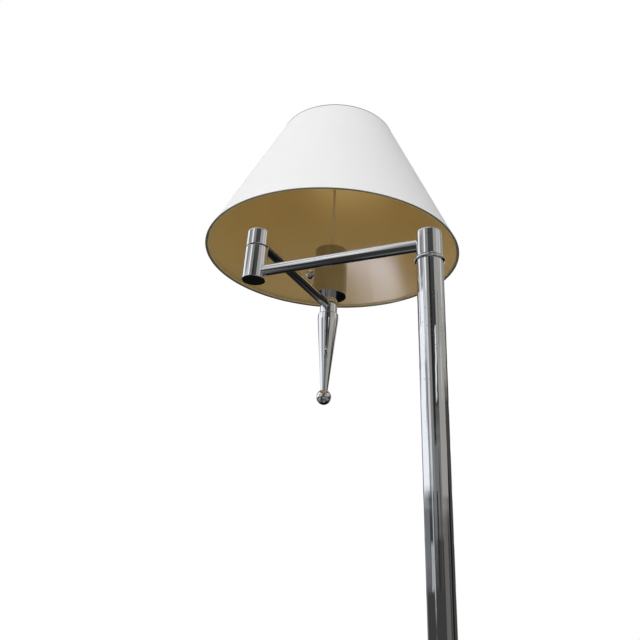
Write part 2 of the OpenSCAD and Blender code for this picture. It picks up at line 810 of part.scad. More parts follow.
// A strip under the lampholder, with a sleeve at each end that takes a leg of the harp
module harp_saddle() {
    mid_z = saddle_z + saddle_t / 2;
    brass() at_harp() difference() {
        union() {
            intersection() {
                translate([-cup_r, -saddle_w / 2, saddle_z]) cube([cup_d, saddle_w, saddle_t]);
                cylinder_from(saddle_z, saddle_z + saddle_t, leg_x + wire_r);
            }
            for (side = [-1, 1]) translate([side * leg_x, 0, 0])
                cylinder_from(mid_z, sleeve_z + sleeve_h, wire_r + sleeve_wall);
        }
        for (side = [-1, 1]) translate([side * leg_x, 0, 0])
            cylinder_from(sleeve_z, sleeve_z + sleeve_h + 1, wire_r + press);
        cylinder_from(0, holder_z, nipple_d / 2 + press);
    }
}

// A bend of the harp's wire in its plane, about a centre there, that ends short of its joints
module wire_bend(c, bend_r, from, to) {
    short = joint_short / bend_r * 180 / PI;
    translate([c[0], 0, c[1]]) rotate([90, 0, 0]) bend(bend_r, wire_r, from + short, to - short);
}

// One bent wire, with a seat and a threaded stud for the shade on top
module harp() {
    side_x = harp_w / 2;
    out = side_x - leg_x;
    turn = acos(1 - out / 2 / harp_bend_r);
    rise = 2 * harp_bend_r * sin(turn);
    bend_z = cup_z + cup_h + 8;
    shoulder_r = side_x - harp_flat;
    wire_z = harp_top - wire_r;
    shoulder_z = wire_z - shoulder_r;
    brass() at_harp() union() {
        for (side = [0, 1]) mirror([side, 0, 0]) {
            translate([leg_x, 0, 0]) cylinder_from(sleeve_z + 0.5, bend_z - joint_short, wire_r);
            wire_bend([leg_x + harp_bend_r, bend_z], harp_bend_r, 180 - turn, 180);
            wire_bend([side_x - harp_bend_r, bend_z + rise], harp_bend_r, -turn, 0);
            translate([side_x, 0, 0])
                cylinder_from(bend_z + rise + joint_short, shoulder_z - joint_short, wire_r);
            wire_bend([harp_flat, shoulder_z], shoulder_r, 0, 90);
            // each joint's place, and how far the wire leans there
            for (p = [[leg_x, bend_z, 0], [leg_x + out / 2, bend_z + rise / 2, turn],
                [side_x, bend_z + rise, 0], [side_x, shoulder_z, 0], [harp_flat, wire_z, 90]])
                translate([p[0], 0, p[1]]) rotate([0, p[2], 0]) sphere(r = wire_r + joint_over);
        }
        translate([joint_short - harp_flat, 0, wire_z]) rotate([0, 90, 0])
            cylinder(r = wire_r, h = 2 * (harp_flat - joint_short));
        cylinder_from(harp_top - harp_hub_h, harp_top, harp_hub_r);
        cylinder_from(harp_top - wire_r, harp_top + harp_seat_t, harp_seat_r);
        cylinder_from(harp_top - 0.2, spider_z + spider_washer_t + 10, stud_r);
    }
}

// A turned nut that holds the shade down
module harp_nut() {
    r = 7;
    waist = 4.6;
    head_r = 6.6;
    chrome() at_harp() translate([0, 0, spider_z + spider_washer_t + seat]) difference() {
        rotate_extrude() polygon(concat([[0, 0], [r, 0], [r, 2], [waist, 4]],
            arc([0, harp_nut_h - head_r], head_r, -38, 90, 12)));
        cylinder_from(-1, 10.5, stud_r + press);
    }
}

// ---- Shade ----

// Repeats its children at the bearings of the spider's arms
module spider_turns() {
    for (i = [0 : spider_arms - 1]) rotate([0, 0, 90 + 360 * i / spider_arms]) children();
}

// One arm, from a radius out to where it is soldered into the top ring, with a gap all round
module spider_arm(from, gap) {
    inner = [spider_washer_r - 2, 0, spider_z + spider_wire_d / 2 + 0.2];
    outer = [top_ring_r - ring_wire_d / 2 + pass, 0, shade_z + top_ring_h];
    start = inner + (outer - inner) * from;
    rod(start, outer + gap * [1, 0, 0], spider_wire_d / 2 + gap);
}

// The washer on the harp and the arms that carry the shade's top ring
module shade_spider() {
    brass() at_harp() union() {
        translate([0, 0, spider_z]) tube(spider_washer_r, stud_r + pass, spider_washer_t);
        spider_turns() spider_arm(0, 0);
    }
}

module wire_ring(r, h) {
    translate([0, 0, shade_z + h]) rotate_extrude() translate([r, 0]) circle(d = ring_wire_d, $fn = 32);
}

// The ring that the shade hangs on, notched where the spider's arms are soldered in
module shade_top_ring() {
    brass() at_harp() difference() {
        wire_ring(top_ring_r, top_ring_h);
        spider_turns() spider_arm(0.5, press);
    }
}

module shade_bottom_ring() { brass() at_head() wire_ring(bottom_ring_r, bottom_ring_h); }

// A cone wall, from an offset inside the shade's face, between two heights above its bottom edge
module cone_wall(off, wall, from, to) {
    low_r = shade_r(from) - off;
    top_r = shade_r(to) - off;
    translate([0, 0, shade_z]) rotate_extrude()
        polygon([[low_r - wall, from], [low_r, from], [top_r, to], [top_r - wall, to]]);
}

module shade_cover() { color([0.93, 0.93, 0.92]) at_head() cone_wall(0, cover_wall, skin_low, skin_top); }

module shade_liner() {
    color([0.62, 0.5, 0.28]) at_head() cone_wall(cover_wall + skin_gap, liner_wall, skin_low, skin_top);
}

// A tape folded over an edge of the shade, up from the bottom edge or down from the top one
module trim(edge_h, fold) {
    inner_h = edge_h + fold * trim_t;
    end_h = edge_h + fold * trim_h;
    color([0.36, 0.35, 0.3]) at_head() translate([0, 0, shade_z]) rotate_extrude() polygon([
        [shade_r(edge_h) + trim_t, edge_h], [shade_r(end_h) + trim_t, end_h],
        [shade_r(end_h) + skin_gap, end_h], [shade_r(inner_h) + skin_gap, inner_h],
        [shade_r(inner_h) - walls - skin_gap, inner_h], [shade_r(end_h) - walls - skin_gap, end_h],
        [shade_r(end_h) - walls - trim_t, end_h], [shade_r(edge_h) - walls - trim_t, edge_h]]);
}

module shade_top_trim() { trim(shade_h, -1); }

module shade_bottom_trim() { trim(0, 1); }

base_pad();
base_weight();
base_cover();
base_washer();
base_nut();
base_nipple();
cord_bushing();
pole_collar();
pole_bush();
pole();
pole_plug();
pole_ring();
pole_lead();
knuckle_washer();
knuckle_spring();
knuckle_stop_washer();
knuckle_nut();
knuckle_barrel();
knuckle_cap();
knuckle_bush();
knuckle_stop_pin();
lower_arm_tube();
elbow_lower_barrel();
elbow_lower_cap();
elbow_bush();
elbow_stop_pin();
lower_arm_lead();
elbow_washer();
elbow_spigot();
elbow_spring();
elbow_stop_washer();
elbow_nut();
elbow_upper_barrel();
elbow_upper_cap();
upper_arm_tube();
stem();
stem_nipple();
stem_nut();
finial();
finial_ball();
socket_cup();
holder_cap();
holder_body();
holder_shell();
screw_shell();
centre_contact();
upper_arm_lead();
harp_saddle();
harp();
harp_nut();
shade_spider();
shade_top_ring();
shade_bottom_ring();
shade_cover();
shade_liner();
shade_top_trim();
shade_bottom_trim();
switch_spindle();
switch_knob();
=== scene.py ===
"""Two-section swing-arm floor lamp: finishes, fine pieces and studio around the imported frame."""

from __future__ import annotations

import logging
import math
from dataclasses import dataclass, field
from enum import Enum
from typing import Callable, ClassVar, Sequence

import bpy
from mathutils import Matrix, Vector

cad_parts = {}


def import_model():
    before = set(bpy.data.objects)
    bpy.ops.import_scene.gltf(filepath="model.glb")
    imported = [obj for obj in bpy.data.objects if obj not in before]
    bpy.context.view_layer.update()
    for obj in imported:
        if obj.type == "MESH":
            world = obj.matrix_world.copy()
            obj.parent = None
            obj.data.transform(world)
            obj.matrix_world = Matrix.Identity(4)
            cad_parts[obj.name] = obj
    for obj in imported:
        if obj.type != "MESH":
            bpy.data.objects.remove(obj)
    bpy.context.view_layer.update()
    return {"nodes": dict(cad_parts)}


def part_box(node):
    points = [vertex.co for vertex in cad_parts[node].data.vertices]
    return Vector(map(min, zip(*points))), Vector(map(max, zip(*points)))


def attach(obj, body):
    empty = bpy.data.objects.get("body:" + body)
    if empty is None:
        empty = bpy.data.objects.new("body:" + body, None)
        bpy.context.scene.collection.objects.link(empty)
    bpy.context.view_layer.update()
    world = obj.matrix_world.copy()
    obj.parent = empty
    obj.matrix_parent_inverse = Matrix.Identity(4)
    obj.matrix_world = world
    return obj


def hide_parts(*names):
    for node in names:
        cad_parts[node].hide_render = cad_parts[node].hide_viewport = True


LOG = logging.getLogger("swing_arm_lamp")
MM = 0.001
ONE_POINT = 1e-6  # metres within which two points are merged

Triple = tuple[float, float, float]
EVEN: Triple = (1.0, 1.0, 1.0)
WHITE_LIGHT = (1.0, 1.0, 1.0, 1.0)


# ---- Shader tools ----


class Graph:
    """A material's or world's node tree, with one way to add any node."""

    def __init__(self, tree: bpy.types.NodeTree) -> None:
        """Empties the tree."""
        self.tree = tree
        tree.nodes.clear()

    def node(self, kind: str, settings: dict[str, object] | None = None,
             **inputs: object) -> bpy.types.Node:
        """Adds a node.

        Args:
            kind: The node's type, such as ShaderNodeTexNoise.
            settings: Properties of the node, such as a Math node's operation, set first.
            inputs: Values or links of its sockets, by name with spaces as underscores,
                or in_N by index.

        Returns:
            The new node.
        """
        made = self.tree.nodes.new(kind)
        for name, value in (settings or {}).items():
            setattr(made, name, value)
        for name, value in inputs.items():
            key = int(name[3:]) if name.startswith("in_") else name.replace("_", " ")
            self.feed(made.inputs[key], value)
        return made

    def feed(self, socket: bpy.types.NodeSocket, value: object) -> None:
        """Links or sets one input socket.

        Args:
            socket: The input.
            value: A wrapped or plain output to link, or a value to set.
        """
        if isinstance(value, Val):
            self.tree.links.new(value.socket, socket)
        elif isinstance(value, bpy.types.NodeSocket):
            self.tree.links.new(value, socket)
        else:
            socket.default_value = value

    def val(self, kind: str, output: str | int = 0, settings: dict[str, object] | None = None,
            **inputs: object) -> "Val":
        """Adds a node and wraps one of its outputs."""
        return Val(self, self.node(kind, settings, **inputs).outputs[output])

    def show(self, shader: bpy.types.Node, kind: str = "ShaderNodeOutputMaterial") -> None:
        """Links a shader to a new output node."""
        self.feed(self.node(kind).inputs["Surface"], shader.outputs[0])


@dataclass(frozen=True)
class Val:
    """A socket whose arithmetic adds Math nodes."""

    graph: Graph
    socket: bpy.types.NodeSocket

    def _math(self, operation: str, a: object, b: object) -> "Val":
        """One Math node."""
        return self.graph.val("ShaderNodeMath", 0, {"operation": operation}, in_0=a, in_1=b)

    def __add__(self, other: object) -> "Val":
        """Sum."""
        return self._math("ADD", self, other)

    def __radd__(self, other: object) -> "Val":
        """Reflected sum."""
        return self._math("ADD", other, self)

    def __sub__(self, other: object) -> "Val":
        """Difference."""
        return self._math("SUBTRACT", self, other)

    def __rsub__(self, other: object) -> "Val":
        """Reflected difference."""
        return self._math("SUBTRACT", other, self)

    def __mul__(self, other: object) -> "Val":
        """Product."""
        return self._math("MULTIPLY", self, other)

    def __rmul__(self, other: object) -> "Val":
        """Reflected product."""
        return self._math("MULTIPLY", other, self)

    def above(self, limit: float, soft: float) -> "Val":
        """0 below the limit and 1 above it, over a soft width."""
        return self.graph.val("ShaderNodeMapRange", 0, {"interpolation_type": "SMOOTHSTEP"}, Value=self,
                              From_Min=limit - soft / 2, From_Max=limit + soft / 2)

    def most(self, other: object) -> "Val":
        """The larger of the two."""
        return self._math("MAXIMUM", self, other)


def new_material(name: str) -> tuple[bpy.types.Material, Graph]:
    """Makes a material with an empty tree.

    Args:
        name: What it is called.

    Returns:
        The material, and the graph that its nodes go in.
    """
    made = bpy.data.materials.new(name)
    made.use_nodes = True
    return made, Graph(made.node_tree)


# ---- Finishes ----


class Finish:
    """Base of every finish: makes its material once and hands it out."""

    name = "finish"

    def material(self) -> bpy.types.Material:
        """Makes the finish's material on its first use.

        Returns:
            The material, which every piece with this finish shares.
        """
        found = bpy.data.materials.get(self.name)
        if found:
            return found
        made, graph = new_material(self.name)
        graph.show(self.surface(graph))
        return made

    def surface(self, graph: Graph) -> bpy.types.Node:
        """Builds the finish's shader in a graph and returns it."""
        raise NotImplementedError

    @staticmethod
    def spots(graph: Graph, cells: float, octaves: float = 2.0, stretch: Triple = EVEN,
              turn: float = 0.0) -> Val:
        """Noise over the piece's own coordinates.

        Args:
            graph: The tree that it goes in.
            cells: How many there are to a metre.
            octaves: How many finer layers it has.
            stretch: How many times longer a cell is along each axis.
            turn: Degrees that the stretched cells lean, about a level axis across them.

        Returns:
            The noise, from 0 to 1.
        """
        place = graph.node("ShaderNodeTexCoord").outputs["Object"]
        if stretch != EVEN:
            along_y = stretch[1] > stretch[0]
            lean = (math.radians(turn), 0.0, 0.0) if along_y else (0.0, math.radians(-turn), 0.0)
            place = graph.node("ShaderNodeMapping", {"vector_type": "TEXTURE"}, Vector=place,
                               Rotation=lean, Scale=stretch).outputs[0]
        return graph.val("ShaderNodeTexNoise", "Fac", Vector=place, Scale=cells, Detail=octaves)

    @staticmethod
    def tint(graph: Graph, factor: object, low: Triple, high: Triple) -> bpy.types.NodeSocket:
        """A colour between two, by a factor."""
        return graph.node("ShaderNodeMix", {"data_type": "RGBA"}, in_0=factor, in_6=(*low, 1.0),
                          in_7=(*high, 1.0)).outputs[2]

    @staticmethod
    def bump(graph: Graph, height: Val, depth: float) -> bpy.types.NodeSocket:
        """The normal of a surface that rises by a depth, in metres, where the height is 1."""
        return graph.node("ShaderNodeBump", Height=height, Distance=depth, Strength=1.0).outputs[0]


@dataclass(frozen=True)
class Chrome(Finish):
    """Bright nickel-chrome plate over steel, with waves, polish marks, fog and small pits.

    Depths are in metres.
    """

    name: str = "polished chrome"
    colour: Triple = (0.86, 0.87, 0.885)
    roughness: float = 0.03
    wave: float = 0.00010  # depth of the long waves
    along: Triple = (1.0, 1.0, 7.0)  # how much longer the waves are along the piece
    streak: float = 0.000004  # depth of the polish marks
    lean: float = 0.0  # degrees between the polish marks and the piece's length
    pits: float = 0.4  # how strongly its pits show
    worn: tuple[float, float] = (0.0, 0.0)  # heights between which the plate has aged
    pitted: Triple = (0.35, 0.34, 0.33)
    mark_length: float = 14.0  # the polish marks' length, in widths
    fine: float = 0.0001  # the depth that stands for 1 in the bump of marks and pits

    def surface(self, graph: Graph) -> bpy.types.Node:
        """Plate over long waves and polish marks, with pits where the plate has aged.

        Args:
            graph: The tree that it goes in.

        Returns:
            The shader.
        """
        drawn = tuple(s if s == 1.0 else self.mark_length for s in self.along)
        waves = self.spots(graph, cells=70.0, octaves=1.0, stretch=self.along)
        marks = self.spots(graph, cells=420.0, octaves=1.0, stretch=drawn, turn=self.lean)
        fog = self.spots(graph, cells=11.0, octaves=3.0).above(0.6, soft=0.3)
        holes = self.spots(graph, cells=620.0, octaves=1.0).above(0.70, soft=0.06)
        pit = holes * self.age(graph) * self.pits
        relief = marks * (self.streak / self.fine) - pit * 0.3
        normal = graph.node("ShaderNodeBump", Height=relief, Distance=self.fine, Strength=1.0,
                            Normal=self.bump(graph, waves, self.wave))
        return graph.node(
            "ShaderNodeBsdfPrincipled", Base_Color=self.tint(graph, pit, self.colour, self.pitted),
            Metallic=1.0, Roughness=self.roughness + 0.05 * fog + 0.3 * pit, Normal=normal.outputs[0])

    def age(self, graph: Graph) -> Val:
        """Says where the plate is worn, in patches.

        Args:
            graph: The tree that it goes in.

        Returns:
            1 where it is worn and 0 elsewhere.
        """
        patches = self.spots(graph, cells=30.0)
        if self.worn == (0.0, 0.0):
            return patches.above(0.58, soft=0.08)
        place = graph.node("ShaderNodeTexCoord").outputs["Object"]
        height = graph.val("ShaderNodeSeparateXYZ", "Z", Vector=place)
        low, high = self.worn
        band = height.above(low, soft=0.03) * (1.0 - height.above(high, soft=0.03))
        return (patches + 0.16 * band).above(0.66, soft=0.08)


@dataclass(frozen=True)
class PlainMetal(Finish):
    """A plated or turned metal with fine marks."""

    name: str = "zinc plated steel"
    colour: Triple = (0.50, 0.51, 0.53)
    dull: Triple = (0.38, 0.39, 0.41)
    roughness: float = 0.28
    metal: float = 1.0
    grain: float = 0.00002  # its depth in metres

    def surface(self, graph: Graph) -> bpy.types.Node:
        """Blotches between the bright and the dull colour, with a fine grain.

        Args:
            graph: The tree that it goes in.

        Returns:
            The shader.
        """
        blotch = self.spots(graph, cells=120.0, octaves=4.0)
        grain = self.spots(graph, cells=2500.0)
        return graph.node(
            "ShaderNodeBsdfPrincipled", Base_Color=self.tint(graph, blotch, self.colour, self.dull),
            Metallic=self.metal, Roughness=self.roughness + 0.15 * blotch,
            Normal=self.bump(graph, grain, self.grain))


@dataclass(frozen=True)
class Plastic(Finish):
    """A moulded plastic, paint or felt with a fine surface."""

    name: str = "black nylon"
    colour: Triple = (0.018, 0.018, 0.020)
    pale: Triple = (0.03, 0.03, 0.032)
    roughness: float = 0.45
    grain_cells: float = 1800.0
    grain: float = 0.00003  # its depth in metres

    def surface(self, graph: Graph) -> bpy.types.Node:
        """A little variation of colour and a fine grain.

        Args:
            graph: The tree that it goes in.

        Returns:
            The shader.
        """
        blotch = self.spots(graph, cells=60.0, octaves=3.0)
        grain = self.spots(graph, cells=self.grain_cells)
        return graph.node(
            "ShaderNodeBsdfPrincipled", Base_Color=self.tint(graph, blotch, self.colour, self.pale),
            Roughness=self.roughness + 0.1 * blotch, Normal=self.bump(graph, grain, self.grain))


@dataclass(frozen=True)
class ShadeWhite(Finish):
    """The white outside of the shade: a fine cloth laminated on a stiff sheet."""

    name: str = "white shade cloth"
    colour: Triple = (0.86, 0.86, 0.86)
    shadow: Triple = (0.82, 0.82, 0.815)
    roughness: float = 0.62
    threads: float = 1500.0  # to a metre
    weave: float = 0.00004  # its depth in metres

    def surface(self, graph: Graph) -> bpy.types.Node:
        """A fine even weave, with faint clouding.

        Args:
            graph: The tree that it goes in.

        Returns:
            The shader.
        """
        cloud = self.spots(graph, cells=14.0, octaves=3.0)
        weave = self.spots(graph, cells=self.threads)
        return graph.node(
            "ShaderNodeBsdfPrincipled", Base_Color=self.tint(graph, cloud, self.colour, self.shadow),
            Roughness=self.roughness + 0.1 * weave, Normal=self.bump(graph, weave, self.weave))


@dataclass(frozen=True)
class ShadeGold(Finish):
    """The metallic gold lining of the shade, satin under a clear film."""

    name: str = "gold lining"
    colour: Triple = (0.69, 0.487, 0.18)
    warm: Triple = (0.66, 0.455, 0.15)
    metal: float = 0.1
    roughness: float = 0.28
    ior: float = 1.5
    sparkle: float = 0.00002  # its depth in metres

    def surface(self, graph: Graph) -> bpy.types.Node:
        """Gold with soft clouds and a very fine sparkle.

        Args:
            graph: The tree that it goes in.

        Returns:
            The shader.
        """
        cloud = self.spots(graph, cells=7.0, octaves=3.0)
        flake = self.spots(graph, cells=3000.0, octaves=1.0)
        return graph.node(
            "ShaderNodeBsdfPrincipled", Base_Color=self.tint(graph, cloud, self.colour, self.warm),
            Metallic=self.metal, Roughness=self.roughness + 0.08 * flake, IOR=self.ior,
            Normal=self.bump(graph, flake, self.sparkle), Coat_Weight=1.0,
            Coat_Roughness=self.roughness, Coat_IOR=self.ior)


@dataclass(frozen=True)
class Tape(Finish):
    """The woven tape folded over the shade's edges."""

    name: str = "edge tape"
    colour: Triple = (0.100, 0.087, 0.057)
    pale: Triple = (0.15, 0.14, 0.10)
    roughness: float = 0.8
    ribs: float = 1400.0  # to a metre
    rib: float = 0.00008  # its depth in metres

    def surface(self, graph: Graph) -> bpy.types.Node:
        """A fine rib.

        Args:
            graph: The tree that it goes in.

        Returns:
            The shader.
        """
        rib = self.spots(graph, cells=self.ribs)
        return graph.node(
            "ShaderNodeBsdfPrincipled", Base_Color=self.tint(graph, rib, self.colour, self.pale),
            Roughness=self.roughness, Normal=self.bump(graph, rib, self.rib))


CHROME = Chrome()
POLE_CHROME = Chrome("drawn pole chrome", wave=0.0004, pits=0.8, worn=(0.92, 1.045))
LOWER_ARM_CHROME = Chrome("lower arm chrome", wave=0.00006, along=(7.0, 1.0, 1.0), streak=0.000016,
                          lean=14.0)
UPPER_ARM_CHROME = Chrome("upper arm chrome", wave=0.00006, along=(1.0, 7.0, 1.0), streak=0.000016,
                          lean=14.0)
TURNED_CHROME = Chrome("turned chrome", wave=0.00005, streak=0.000003)
# The cup's chrome: a little rough, with its colour darkened to how dim the cup looks inside the shade.
# This is painted shade.
SATIN_PAINTED_SHADE = Chrome("satin chrome with painted shade", (0.52, 0.52, 0.53), roughness=0.08, wave=0.00003, pits=0.0)
STEEL = PlainMetal()
BRASS = PlainMetal("brass plate", (0.62, 0.47, 0.20), (0.48, 0.34, 0.14), roughness=0.25)
GILT = PlainMetal("gilt lacquer", (0.68, 0.54, 0.29), (0.62, 0.48, 0.24), roughness=0.40, metal=0.3)
NYLON = Plastic()
PHENOLIC = Plastic("black phenolic", (0.022, 0.018, 0.015), (0.035, 0.03, 0.025), roughness=0.3,
                   grain_cells=900.0, grain=0.00002)
JACKET = Plastic("lead jacket", (0.55, 0.46, 0.28), (0.48, 0.40, 0.25), roughness=0.5,
                 grain_cells=600.0, grain=0.00002)
CAST = Plastic("black cast paint", (0.02, 0.02, 0.021), (0.035, 0.035, 0.036), roughness=0.6,
               grain_cells=500.0, grain=0.0002)
FELT = Plastic("felt", (0.012, 0.012, 0.012), (0.03, 0.03, 0.03), roughness=0.95,
               grain_cells=1200.0, grain=0.0004)
WHITE = ShadeWhite()
GOLD = ShadeGold()
TAPE = Tape()


# ---- Studio ----


@dataclass(frozen=True)
class Panel:
    """A window, door, wall or curtain of the room, seen from the lamp in degrees.

    Bearings run from the camera's side of the lamp, growing to the camera's right.
    """

    left: float
    right: float
    low: float
    high: float
    light: float
    tint: Triple = EVEN
    lean: float = 0.0  # degrees that its top stands to the right of its foot
    soft: float = 3.0  # degrees over which its sides fade
    near: float = 1.0  # its distance as a share of the room's

    def bearing(self, column: int, across: int) -> float:
        """Says where one of its columns of points stands.

        Args:
            column: The column, of which the first and the last have faded out.
            across: How many columns of faces lie between the two that fade.

        Returns:
            Degrees.
        """
        if column == 0:
            return self.left - self.soft / 2
        if column == across + 2:
            return self.right + self.soft / 2
        return self.left + self.soft / 2 + (self.right - self.left - self.soft) * (column - 1) / across

    def elevation(self, row: int) -> float:
        """The height in degrees of one of its four rows of points, the outer two of which have faded."""
        fade = min(self.soft, (self.high - self.low) / 3)
        return (self.low - fade / 2, self.low + fade / 2, self.high - fade / 2, self.high + fade / 2)[row]


COOL: Triple = (0.95, 0.985, 1.05)
WARM: Triple = (1.04, 1.0, 0.93)
DAYLIGHT: Triple = (0.90, 0.98, 1.16)
ROOM: tuple[Panel, ...] = (
    # The dark room, and its ceiling, palest by the windows
    Panel(-182, 182, -24, 5, 0.05, soft=1.5),
    Panel(-182, 182, 5, 26, 0.045, soft=1.5),
    Panel(-182, 182, 26, 62, 0.14, soft=1.5),
    Panel(-22, 28, 23, 42, 0.06, soft=6),
    Panel(118, 182, 22, 56, 0.34, soft=5),
    Panel(-182, 182, 56, 80, 0.22, soft=1.5),
    Panel(-150, -20, 44, 80, 0.68, soft=10),
    # Left: tall windows over a grey sill
    Panel(-150, -84, -5, 4, 0.18, COOL),
    Panel(-150, -72, 3, 60, 1.0, COOL),
    Panel(-182, -136, 14, 60, 0.10, lean=6),
    Panel(-102, -70, 24, 31, 0.24),
    Panel(-86, -74, 9, 17, 0.34, lean=3, soft=2),
    Panel(-76, -40, 3, 50, 0.36, soft=5),
    Panel(-72, -60, 17, 26, 0.62, lean=-3),
    Panel(-71, -62, 6, 15, 0.20),
    Panel(-60, -44, 3, 44, 0.66, lean=3, soft=4),
    Panel(-58, -50, -8, 4, 0.45, soft=2),
    Panel(-82, -60, -6, -2.5, 0.42, COOL, lean=4, soft=2),
    Panel(-57, -44, 23, 40, 0.95),
    Panel(-46, -24, 22, 50, 0.42, soft=6),
    # Ahead, on the camera's side: a grey wall, a dark doorway and a slim lit gap
    Panel(-42, -22, -2, 44, 0.22, soft=8),
    Panel(-24, 44, -1, 9, 0.17),
    Panel(4, 12, -6, 5, 0.07, soft=2),
    Panel(-20, -5, 7, 27, 0.02),
    Panel(-20, -11, -6, 2, 0.03, soft=2),
    Panel(2, 13, 11.5, 18.5, 0.85, lean=9, soft=4),
    # Right: a warm wall with a window far to the side
    Panel(24, 114, 0, 60, 0.34, WARM),
    Panel(24, 84, -12, 0, 0.14, WARM),
    Panel(60, 74, -12, 0, 0.05, WARM),
    Panel(40, 47, 17, 22, 0.19, WARM, soft=2),
    Panel(50, 60, 12, 17, 0.50, WARM, lean=3, soft=2),
    Panel(52, 72, 26, 50, 0.52),
    Panel(80, 94, 21, 60, 0.62, lean=2),
    Panel(80, 116, -24, 13, 0.06),
    Panel(78, 98, -24, 4, 0.012),
    # Behind: a pale wall with a window, between dark ones
    Panel(116, 136, -24, 17, 0.02, soft=2),
    Panel(136, 165, -20, 22, 0.30, WARM, soft=4),
    Panel(142, 158, -8, 18, 0.85),
    Panel(-178, -163, -24, 20, 0.02, soft=2),
    Panel(-162, -151, -20, 20, 0.35),
    # Low and near: pale furniture
    Panel(-28, 22, -31, -18, 0.24, WARM, soft=4, near=0.6),
    Panel(22, 104, -31, -18, 0.17, WARM, soft=4, near=0.6),
    Panel(-130, -93, -31, -18, 0.26, COOL, soft=4, near=0.6),
    # Low and nearer still, to the right: what the base's top shows from behind
    Panel(-6, 104, -40, -28, 0.26, soft=5, near=0.34),
    # Low down on the left: a sill in daylight
    Panel(-88, -64, -30, -18, 0.9, DAYLIGHT, soft=4),
)


@dataclass(frozen=True)
class Patch:
    """A part of the floor that is paler than the rest, in degrees round the lamp and metres from it."""

    left: float
    right: float
    near: float
    far: float
    light: float


PATCHES: tuple[Patch, ...] = (
    Patch(-150, 112, 0.0, 4.5, 0.032),
    Patch(-30, 106, 0.55, 4.4, 0.11),
    Patch(-132, -72, 0.7, 4.4, 0.11),
    Patch(-30, 106, 1.4, 4.4, 0.20),
    Patch(-132, -64, 1.3, 4.4, 0.22),
    Patch(-30, 106, 2.6, 4.4, 0.30),
    Patch(-132, -60, 2.6, 4.4, 0.36),
    Patch(148, 166, 3.5, 4.4, 0.13),
    Patch(-182, 182, 0.0, 0.42, 0.12),
)


@dataclass(frozen=True)
class Lamp:
    """A round soft light that is aimed at the floor lamp, at a bearing like a panel's."""

    name: str
    bearing: float
    reach: float
    height: float
    size: float
    spread: float  # degrees
    power: float


LAMPS: tuple[Lamp, ...] = (
    Lamp("key", -24.0, reach=2.6, height=2.0, size=1.8, spread=80.0, power=9.0),
    Lamp("fill", -120.0, reach=2.8, height=1.4, size=2.0, spread=90.0, power=6.9),
)


@dataclass(frozen=True)
class SillGlow:
    """Daylight on the sill, as the gold lining shows it. Its drop is below the room's middle."""

    bearing: float = -47.0
    reach: float = 2.9
    drop: float = 0.64
    size: tuple[float, float] = (3.8, 0.26)
    power: float = 38.0
    colour: Triple = (0.84, 0.98, 1.5)


